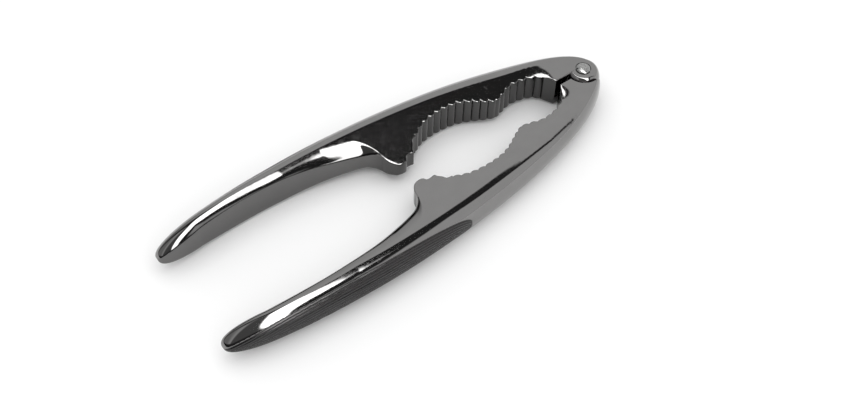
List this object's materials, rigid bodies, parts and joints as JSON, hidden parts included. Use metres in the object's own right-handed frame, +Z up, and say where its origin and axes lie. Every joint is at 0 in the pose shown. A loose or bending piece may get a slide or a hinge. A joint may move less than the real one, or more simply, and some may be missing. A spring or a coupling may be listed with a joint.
{
  "type": "nutcracker",
  "caption": "Lever nutcracker of dark mirror-plated castings, with toothed large and small nut pockets between curved handles on a riveted hinge.",
  "frame": {"origin": "middle of the tool's outline, on the surface it lies on", "axes": "+X along the tool towards the hinge, +Y towards the far lever, +Z up along the hinge axis"},
  "size_m": [0.1704, 0.0594, 0.0144],
  "materials": {
    "plated_casting": "mirror-bright dark nickel plating on a zinc casting",
    "plated_rivet": "polished dark nickel plating on a steel rivet"
  },
  "bodies": {
    "far_half": {"lever_far": "plated_casting", "hinge_rivet": "plated_rivet"},
    "near_half": {"lever_near": "plated_casting"}
  },
  "joints": [
    {"name": "lever_hinge", "type": "hinge", "parent": "far_half", "child": "near_half", "pos_m": [0.07875, 0, 0.0072], "axis": [0, 0, 1], "range_deg": [-6, 50]}
  ]
}
